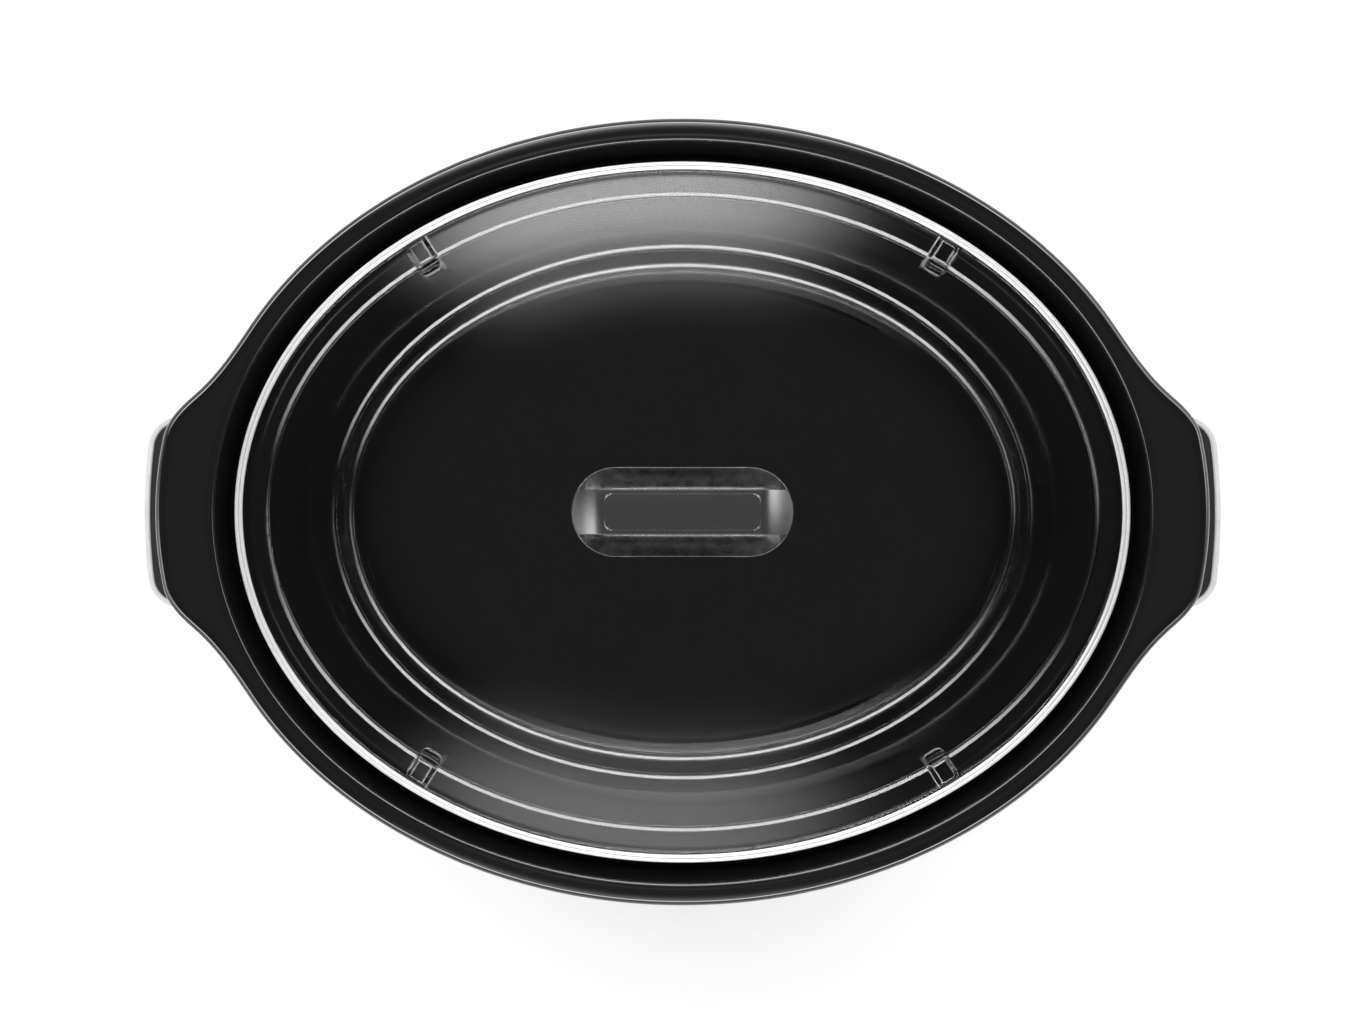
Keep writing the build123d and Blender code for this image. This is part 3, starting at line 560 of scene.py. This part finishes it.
def vent_places(half_length, half_width):
    """(x, y, angle) of the four steam vents; the angle is square to the rim."""
    places = []
    for quarter in range(4):
        turn = radians(45 + 90 * quarter)
        x, y = VENT_RADIUS * cos(turn), VENT_RADIUS * sin(turn)
        places.append((x, y, atan2(y / half_width ** 2, x / half_length ** 2)))
    return places


def lid_angles(vents, half_length, half_width):
    """Even steps round the oval, with close ones across each vent."""
    angles = [radians(step) for step in range(360)]
    for x, y, _ in vents:
        middle = atan2(y / half_width, x / half_length) % (2 * pi)
        angles = [a for a in angles if abs(a - middle) > radians(VENT_STEP * VENT_STEPS)]
        angles += [middle + radians(VENT_STEP * k) for k in range(-VENT_STEPS, VENT_STEPS + 1)]
    return sorted(angles)


def vent_lift(x, y, vents):
    """How far the vents raise the flange at this place."""
    lift = 0.0
    for vent_x, vent_y, angle in vents:
        along = (x - vent_x) * cos(angle) + (y - vent_y) * sin(angle)
        across = -(x - vent_x) * sin(angle) + (y - vent_y) * cos(angle)
        width = 1 - soft_step(abs(across), VENT_WIDTH / 2, SIDE_EDGE)
        length = soft_step(along, VENT_INNER, INNER_EDGE) * (1 - soft_step(along, VENT_OUTER, OUTER_EDGE))
        lift = max(lift, VENT_HEIGHT * width * length)
    return lift


def make_glass_lid(materials):
    low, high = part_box("glass_lid")
    a, b, base = high.x / MM, high.y / MM, low.z / MM
    flange = base + GLASS_THICK

    def at(inset_a, inset_b, height):
        return (a - inset_a, b - inset_b, flange + height)

    foot, shoulder = at(11.7, 12.2, 3.1), at(35.7, 30.6, 8.95)
    brow, crown = at(43.5, 39.2, 11.9), at(71.2, 64.9, CROWN)
    slope, dome = rise(foot, shoulder, 1.17), rise(brow, crown, 2.0, 16)
    top = [at(0.0, 0.0, -1.6), at(0.15, 0.15, -0.9), at(0.6, 0.6, -0.6)]
    top += rounded([
        (at(0.9, 0.9, -0.6), 0), (at(2.3, 2.3, -0.6), 0.3), (at(4.3, 4.3, -0.1), 0.4),
        (at(10.4, 10.9, 2.35), 0.5), (foot, 0.5), (slope[1], 0)], steps=4)
    top += slope[2:-1]
    top += rounded([
        (slope[-1], 0), (shoulder, 0.5), (at(37.1, 32.0, 9.75), 0.5), (at(42.1, 37.7, 11.1), 0.5),
        (brow, 0.5), (dome[0], 0)], steps=4)
    top += dome[1:] + [crown]
    middle_z = flange + CROWN
    middle_under = middle_z - GLASS_THICK
    top += [(*MIDDLE, middle_z), (30.0, 24.0, middle_z), (12.0, 11.0, middle_z), (5.2, 5.2, middle_z),
            (SCREW_HOLE, SCREW_HOLE, middle_z - 0.5)]
    under = [(SCREW_HOLE, SCREW_HOLE, middle_under + 0.5), (5.2, 5.2, middle_under),
             (12.0, 11.0, middle_under), (*MIDDLE, middle_under)]
    seat, draw = 4.0, 1.0       # width of the flat edge underneath, and how far the underside is drawn in
    sloped = [p for p in top if a - seat >= p[0] > MIDDLE[0]]
    under += [(pa - draw, pb - draw, pz - GLASS_THICK) for pa, pb, pz in reversed(sloped)]
    under += [at(seat, seat, -GLASS_THICK), at(0.6, 0.6, -GLASS_THICK), at(0.1, 0.1, 0.5 - GLASS_THICK)]
    vents = vent_places(a, b)
    angles = lid_angles(vents, a, b)
    rings = []
    for k, (ring_a, ring_b, z) in enumerate(top + under):
        ring = []
        for angle in angles:
            x, y = ring_a * cos(angle), ring_b * sin(angle)
            lift = vent_lift(x, y, vents) if k < len(top) else 0.0
            ring.append((x, y, z + lift))
        rings.append(ring)
    points, faces = skin(rings)
    add_piece("lid_glass_pane", points, faces, "lid", "lid_glass", materials, ("glass_lid",), sharp=50)


def oval_ring(a, b, z, count):
    turns = [2 * pi * k / count for k in range(count)]
    return [(a * cos(t), b * sin(t), z) for t in turns]


def make_rim_band(materials):
    """Rolled steel edge: two rounded beads with a shallow groove between them."""
    low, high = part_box("lid_rim_band")
    a, b, base, top = high.x / MM, high.y / MM, low.z / MM, high.z / MM
    bead = BAND_WIDTH / 4
    section = rounded([((BAND_WIDTH, base), 0), ((0.0, base), 0.9), ((0.0, top - bead), 0)], steps=6)
    for centre in (bead, BAND_WIDTH - bead):
        for k in range(13):
            turn = radians(180 - 15 * k)
            section.append((centre + bead * cos(turn), top - bead + bead * sin(turn)))
    section.append((BAND_WIDTH, top - BAND_LIP))
    rings = [oval_ring(a - inset, b - inset, z, BAND_STEPS) for inset, z in section]
    points, faces = skin(rings)
    add_piece("lid_rolled_rim", points, faces, "lid", "rim_steel", materials, ("lid_rim_band",))


# ---------------------------------------------------------------- lid knob

KNOB_HALF, CAP_RADIUS = 41.0, 16.5          # half length of the knob and radius of its round ends
STRAIGHT = KNOB_HALF - CAP_RADIUS
BAR_HALF, BAR_FLAT, BAR_EDGE, WALL = 8.2, 29.0, 0.15, 0.25
END_DROP, EDGE_HEIGHT, EDGE_ROUND = 9.5, 15.0, 0.8
PAD_HALF, PAD_CORNER, PAD_PROUD = (28.5, 6.7), 3.0, 0.5
WELL_REACH, WELL_DEPTH, WELL_CLIMB = 36.0, 9.5, 5.0
FILLET_HEIGHT, FILLET_WIDTH = 1.2, 2.6
MOTTLED_DEPTH, MOTTLED_HALF = 0.9, 37.0     # how far below a well's surface and along it the mottle goes

# Rows of points to each side of the middle: over the bar in mm, then over the well as shares of its width.
BAR_ROWS = (0.0, 1.2, 2.4, 3.4, 4.0, 4.6, 5.2, 5.7, 6.1, 6.4, 6.55, 6.7, 6.85, 7.0, 7.3, 7.5, 7.7, 7.9,
            8.05, 8.12, 8.17, BAR_HALF)
WELL_ROWS = (0.02, 0.06, 0.12, 0.2, 0.3, 0.42, 0.55, 0.68, 0.8, 0.88, 0.93, 0.955, 0.975, 0.99, 1.0)
SKIRT_ROWS = ((0.04, 0.0), (0.5, 0.35), (0.88, 0.9), (0.96, 1.05), (1.0, 1.6))      # (share down, inset)


def stadium_half(x):
    """Half width of the knob's outline at x."""
    return sqrt(max(CAP_RADIUS ** 2 - max(abs(x) - STRAIGHT, 0.0) ** 2, 0.0))


def inside_edge(x, y):
    """How far inside the knob's outline a place lies."""
    return CAP_RADIUS - hypot(max(abs(x) - STRAIGHT, 0.0), y)


def bar_height(x, y, height):
    """The grip bar: slightly crowned, falling away at its ends, with a raised pad on top."""
    past = max((abs(x) - BAR_FLAT) / (KNOB_HALF - BAR_FLAT), 0.0)
    top = height - PAD_PROUD - END_DROP * past ** 1.3
    crown = 0.5 * (y / BAR_HALF) ** 2
    edge = round_drop(max(abs(y) - (BAR_HALF - BAR_EDGE), 0.0) / BAR_EDGE, BAR_EDGE)
    half_x, half_y = PAD_HALF
    reach_x, reach_y = abs(x) - half_x + PAD_CORNER, abs(y) - half_y + PAD_CORNER
    gap = hypot(max(reach_x, 0), max(reach_y, 0)) + min(max(reach_x, reach_y), 0) - PAD_CORNER
    pad = PAD_PROUD * (1 - soft_step(gap, 0.0, 0.16))
    return top - crown - edge + pad


def well_height(x, y):
    """The well is deepest beside the bar, in the middle, and climbs to the stadium's ends."""
    out = min(max((abs(y) - BAR_HALF) / max(stadium_half(x) - BAR_HALF, 1e-6), 0.0), 1.0)
    reach = max(1 - (x / WELL_REACH) ** 4, 0.0)
    depth = reach * (WELL_DEPTH - WELL_CLIMB * out ** 1.6)
    fillet = FILLET_HEIGHT * max(1 - (abs(y) - BAR_HALF) / FILLET_WIDTH, 0.0) ** 2 * reach
    return EDGE_HEIGHT - depth + fillet


def knob_height(x, y, height):
    inner, outer = BAR_HALF, BAR_HALF + WALL
    if abs(y) <= inner:
        z = bar_height(x, y, height)
    elif abs(y) >= outer:
        z = well_height(x, y)
    else:
        down = (abs(y) - inner) / WALL
        z = bar_height(x, inner, height) * (1 - down) + well_height(x, outer) * down
    inward = inside_edge(x, y)
    if inward < EDGE_ROUND:
        z -= round_drop(1 - max(inward, 0.0) / EDGE_ROUND, EDGE_ROUND)
    return z


def knob_columns():
    """The x of each line of points across the knob, closer round the ends and at the pad's corners."""
    caps = [STRAIGHT + CAP_RADIUS * sin(radians(2.0 * k)) for k in range(46)]
    sides = [0.9 * k for k in range(28)]
    pad_end = [PAD_HALF[0] + 0.1 * k for k in range(-4, 5)]
    pad_corner = [PAD_HALF[0] - PAD_CORNER + 0.1 + 0.3 * k for k in range(9)]
    columns = sorted(set(round(x, 4) for x in caps + sides + pad_end + pad_corner))
    return [-x for x in reversed(columns) if x > 0] + columns


def knob_rows(x):
    """The y of each point across the knob at x, squeezed where the knob is narrower than its bar."""
    half, wall_end = stadium_half(x), BAR_HALF + WALL
    scale = min(1.0, half / wall_end)
    start = wall_end * scale
    rows = [y * scale for y in (*BAR_ROWS, *(BAR_HALF + WALL * t for t in (0.33, 0.66, 1.0)))]
    rows += [start + (half - start) * t for t in WELL_ROWS]
    return [-y for y in reversed(rows[1:])] + rows


def make_lid_knob(materials):
    low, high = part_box("lid_knob")
    base, height = low.z / MM, (high.z - low.z) / MM
    lines = [[(x, y, base + knob_height(x, y, height)) for y in knob_rows(x)] for x in knob_columns()]
    width = len(lines[0])
    points = [p for line in lines for p in line]
    faces = [(c * width + r, (c + 1) * width + r, (c + 1) * width + r + 1, c * width + r + 1)
             for c in range(len(lines) - 1) for r in range(width - 1)]
    edge = [c * width for c in range(len(lines))]
    edge += [c * width + width - 1 for c in reversed(range(len(lines)))]
    edge_points = [points[i] for i in edge]
    above = edge
    for down, inset in SKIRT_ROWS:
        ring = []
        for x, y, z in edge_points:
            past = copysign(max(abs(x) - STRAIGHT, 0.0), x)
            shrink = inset / (hypot(past, y) or 1.0)
            ring.append((x - past * shrink, y - y * shrink, z + (base - z) * down))
        below = list(range(len(points), len(points) + len(ring)))
        points += ring
        for i in range(len(ring)):
            j = (i + 1) % len(ring)
            faces.append((above[i], above[j], below[j], below[i]))
        above = below
    faces.append(tuple(above))

    def pick(centre):
        below_well = base + well_height(centre.x, centre.y) - centre.z
        beside_bar = abs(centre.y) > BAR_HALF + WALL and abs(centre.x) < MOTTLED_HALF
        on_side = inside_edge(centre.x, centre.y) < 0.15
        return 1 if beside_bar and below_well < MOTTLED_DEPTH and not on_side else 0
    add_piece("lid_grip_knob", points, faces, "lid", "black_phenolic", materials, ("lid_knob",),
              sharp=38, extra=("knob_well",), pick=pick)


# ---------------------------------------------------------------- crock

CROCK_STEPS = 720
FLANGE_HALF = (183.0, 146.6)    # half size of the outer rim, without the ears
EAR_ROOT, EAR_CORNER, EAR_REACH = (160.0, 60.8), (191.5, 36.1), 196.4
EAR_ROUND, ROOT_ROUND = 7.0, 9.0
FLANGE_DEPTH, SHELF_DEPTH, LEDGE_DEPTH = 15.95, 0.12, 9.0       # below the top of the crock
FOOT_RECESS, FLOOR_THICK = 2.0, 10.0
OUTER_CORNER, INNER_CORNER = 26.0, 20.0
WALL_LEAN = 2.7                 # how far the wall has leaned out at the top of the outer corner
ROLL, ROLL_TURN = 3.04, 70      # radius and degrees of the flange's outer roll
CROWN_WIDTH, CROWN_DROP = 2.6, 0.46         # the slight slope from the roll up to the shelf
BEAD = 1.6                      # radius of the raised bead inside the rim, which is the crock's top
SHADE_GLAZE_HALF = (174.0, 137.6)      # half size of the oval within which the ledge's painted shade, a darker and duller glaze, starts


def blend_min(p, q, width):
    """The lesser of the two, rounded off where they differ by less than width."""
    overlap = max(width - abs(p - q), 0.0) / width
    return min(p, q) - overlap * overlap * width / 4


def oval_reach(a, b, angle):
    return a * b / hypot(b * cos(angle), a * sin(angle))


def ear_reach(angle):
    """Distance from the middle to the ear's outline, along this direction. Only the ends have ears."""
    c, s = abs(cos(angle)), abs(sin(angle))
    if c < 0.5:
        return 0.0
    (root_x, root_y), (corner_x, corner_y) = EAR_ROOT, EAR_CORNER
    bow = (EAR_REACH - corner_x) / corner_y ** 2
    end = EAR_REACH / c
    for _ in range(3):
        end = (EAR_REACH - bow * (end * s) ** 2) / c
    slope = (root_y - corner_y) / (corner_x - root_x)
    flank = (root_y + slope * root_x) / (s + slope * c)
    return blend_min(end, flank, EAR_ROUND)


def rim_reach(angle):
    """The crock flange's outline: the oval, flowing into an ear at each end."""
    return -blend_min(-oval_reach(*FLANGE_HALF, angle), -ear_reach(angle), ROOT_ROUND)


def outline(reach):
    """Points round the outline whose distance from the middle is reach(angle)."""
    turns = [2 * pi * k / CROCK_STEPS for k in range(CROCK_STEPS)]
    return [(reach(t) * cos(t), reach(t) * sin(t)) for t in turns]


def crock_oval(a, b, z):
    return [(x, y, z) for x, y in outline(lambda angle: oval_reach(a, b, angle))]


def crock_rim(inset, z):
    """The flange's outline, moved inward square to itself."""
    line = outline(rim_reach)
    ring = []
    for k, (x, y) in enumerate(line):
        (x0, y0), (x1, y1) = line[k - 1], line[(k + 1) % len(line)]
        along_x, along_y = x1 - x0, y1 - y0
        length = hypot(along_x, along_y)
        ring.append((x - inset * along_y / length, y + inset * along_x / length, z))
    return ring


def crock_outside(base, flange):
    """Rings from the recess underneath, over the foot and up the wall, to the underside of the flange."""
    recess = base + FOOT_RECESS
    sizes = [(40.0, 30.0, recess), (100.0, 72.0, recess)]
    sizes += rounded([((112.0, 78.0, recess), 0), ((114.5, 80.3, recess), 0.9), ((115.5, 81.2, base), 0.9),
                      ((123.0, 87.0, base), 0)], steps=4)
    for k in range(11):
        turn = radians(9 * k)
        inset, grow = OUTER_CORNER * (1 - sin(turn)), WALL_LEAN * (1 - cos(turn))
        sizes.append((148.0 - inset + grow, 111.6 - inset + grow, base + OUTER_CORNER * (1 - cos(turn))))
    sizes += [(154.6, 118.2, base + 64), (160.2, 123.8, flange - 2.5), (160.5, 124.1, flange - 1.2),
              (161.2, 124.8, flange - 0.3), (162.2, 125.8, flange)]
    return [crock_oval(*size) for size in sizes] + [crock_rim(8.0, flange)]


def crock_flange(flange, shelf):
    """Rings up the flange's edge, over its roll and up the slight crown to the flat shelf."""
    roll_z = shelf - 3.32
    edge = rounded([((6.0, flange), 0), ((0.0, flange), 4.8), ((0.0, roll_z - 0.08), 0)], steps=7)
    for k in range(9):
        turn = radians(90 - ROLL_TURN * k / 8)
        edge.append((ROLL * (1 - sin(turn)), roll_z + ROLL * cos(turn)))
    roll_end = edge[-1][0]
    for t in (0.15, 0.35, 0.6, 0.8, 1.0):
        edge.append((roll_end + CROWN_WIDTH * t, shelf - CROWN_DROP + 2 * CROWN_DROP * (t - t * t / 2)))
    return [crock_rim(*place) for place in edge]


def crock_shelf(shelf):
    """Rings across the flat shelf, from the flange's outline to the oval of the groove."""
    near, groove = crock_rim(4.62, shelf), crock_oval(178.2, 141.8, shelf)
    return [[between(p, q, t) for p, q in zip(near, groove)] for t in (0.25, 0.5, 0.75)]


def crock_inside(base, top, shelf, ledge):
    """Rings through the groove, over the bead, across the ledge for the lid and down to the floor."""
    floor = base + FLOOR_THICK
    groove = shelf - 0.07
    sizes = [(178.1, 141.7, shelf - 0.03), (177.9, 141.5, shelf - 0.06), (177.6, 141.2, groove)]
    for t in (0.2, 0.4, 0.6, 0.8):
        sizes.append((177.6 - BEAD * t, 141.2 - BEAD * t, groove + (top - groove) * t * t * (3 - 2 * t)))
    for k in range(9):
        turn = radians(10 * k)
        sizes.append((176.0 - BEAD * sin(turn), 139.6 - BEAD * sin(turn), top - BEAD * (1 - cos(turn))))
    sizes += rounded([
        ((174.2, 137.8, top - 1.9), 0), ((168.6, 132.2, ledge), 1.3), ((155.2, 118.8, ledge), 1.2),
        ((153.4, 117.0, ledge - 6.0), 2.0), ((142.0, 105.6, floor + INNER_CORNER), 0)], steps=5)
    for k in range(1, 11):
        turn = radians(9 * k)
        inset = INNER_CORNER * (1 - cos(turn))
        sizes.append((141.6 - inset, 105.2 - inset, floor + INNER_CORNER * (1 - sin(turn))))
    sizes += [(100.0, 72.0, floor), (55.0, 40.0, floor)]
    return [crock_oval(*size) for size in sizes]


def make_crock(materials):
    low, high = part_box("crock")
    base, top = low.z / MM, high.z / MM
    flange, shelf, ledge = top - FLANGE_DEPTH, top - SHELF_DEPTH, top - LEDGE_DEPTH
    rings = crock_outside(base, flange) + crock_flange(flange, shelf)
    rings += crock_shelf(shelf) + crock_inside(base, top, shelf, ledge)
    points, faces = skin(rings, capped=True)

    def pick(centre):
        if centre.z < base + 3 and abs(centre.x) < 118:
            return 1
        # index 2 is painted shade: the ledge inside the rim gets the darker, duller glaze
        on_ledge = ledge - 5 < centre.z < top - 2.5
        return 2 if on_ledge and hypot(centre.x / SHADE_GLAZE_HALF[0], centre.y / SHADE_GLAZE_HALF[1]) < 1 else 0
    add_piece("stoneware_crock", points, faces, "crock", "black_glaze", materials, ("crock",), sharp=45,
              extra=("bare_stoneware", "shaded_recess_glaze"), pick=pick)


# ---------------------------------------------------------------- control panel

MARK_RADIUS, MARK_PROUD, MARK_SUNK = 18.25, 0.06, 0.15
DOT_RADIUS, BAR_PITCH = 0.75, 1.05
MARK_BAR = (0.85, 0.22)         # half length and half width of a bar


def make_panel_marks(materials):
    """Four generic settings round the dial: a dot for off, then one, two and three short bars."""
    low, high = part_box("control_panel")
    centre_x, centre_z = (low.x + high.x) / 2 / MM, (low.z + high.z) / 2 / MM
    face = low.y / MM
    points, faces = [], []

    def add_prism(shape):
        start, count = len(points), len(shape)
        for y in (face + MARK_SUNK, face - MARK_PROUD):
            points.extend((x, y, z) for x, z in shape)
        faces.append(tuple(range(start, start + count)))
        faces.append(tuple(reversed(range(start + count, start + 2 * count))))
        for i in range(count):
            j = (i + 1) % count
            faces.append((start + i, start + j, start + count + j, start + count + i))

    for setting in range(4):
        turn = radians(180 - 60 * setting)
        out_x, out_z = cos(turn), sin(turn)
        mid_x, mid_z = centre_x + MARK_RADIUS * out_x, centre_z + MARK_RADIUS * out_z
        if setting == 0:
            round_turns = [radians(15 * k) for k in range(24)]
            add_prism([(mid_x + DOT_RADIUS * cos(t), mid_z + DOT_RADIUS * sin(t)) for t in round_turns])
        for bar in range(setting):
            shift = BAR_PITCH * (bar - (setting - 1) / 2)
            x, z = mid_x - shift * out_z, mid_z + shift * out_x
            corners = [(MARK_BAR[0] * i, MARK_BAR[1] * j) for i, j in ((-1, -1), (1, -1), (1, 1), (-1, 1))]
            add_prism([(x + along * out_x - across * out_z, z + along * out_z + across * out_x)
                       for along, across in corners])
    add_piece("panel_setting_marks", points, faces, "base", "pale_inlay", materials, sharp=30)


# ---------------------------------------------------------------- the whole

set_camera()
set_studio()
set_floor()
finishes = make_materials()
dress_frame(finishes)
make_crock(finishes)
make_glass_lid(finishes)
make_rim_band(finishes)
make_lid_knob(finishes)
make_panel_marks(finishes)

bpy.context.view_layer.update()
